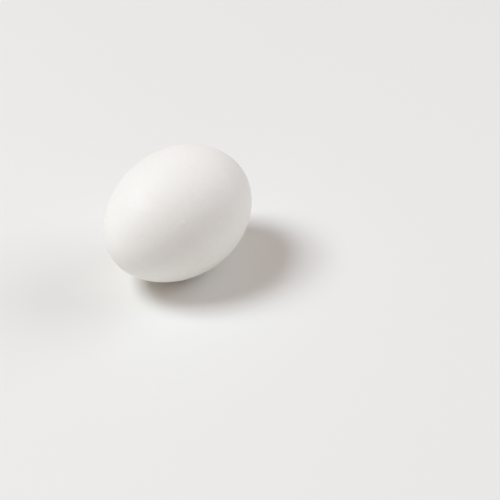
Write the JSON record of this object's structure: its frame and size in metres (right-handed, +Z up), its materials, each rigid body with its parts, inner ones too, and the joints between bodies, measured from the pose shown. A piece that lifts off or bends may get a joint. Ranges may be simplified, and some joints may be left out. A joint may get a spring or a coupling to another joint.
{
  "type": "hard-boiled egg",
  "caption": "Whole hard-boiled hen's egg in its white shell, lying on its side with the pointed end dipping slightly; rests on a small flat spot.",
  "frame": {"origin": "middle of the small flat spot that the egg rests on, straight under its centre of mass, on the supporting surface", "axes": "+Z up, out of the supporting surface; +X level, along the egg's long axis towards its broad end; +Y across the egg"},
  "size_m": [0.0582, 0.044, 0.0438],
  "materials": {
    "eggshell": "satin"
  },
  "bodies": {
    "root": {"egg": "eggshell"}
  },
  "joints": []
}
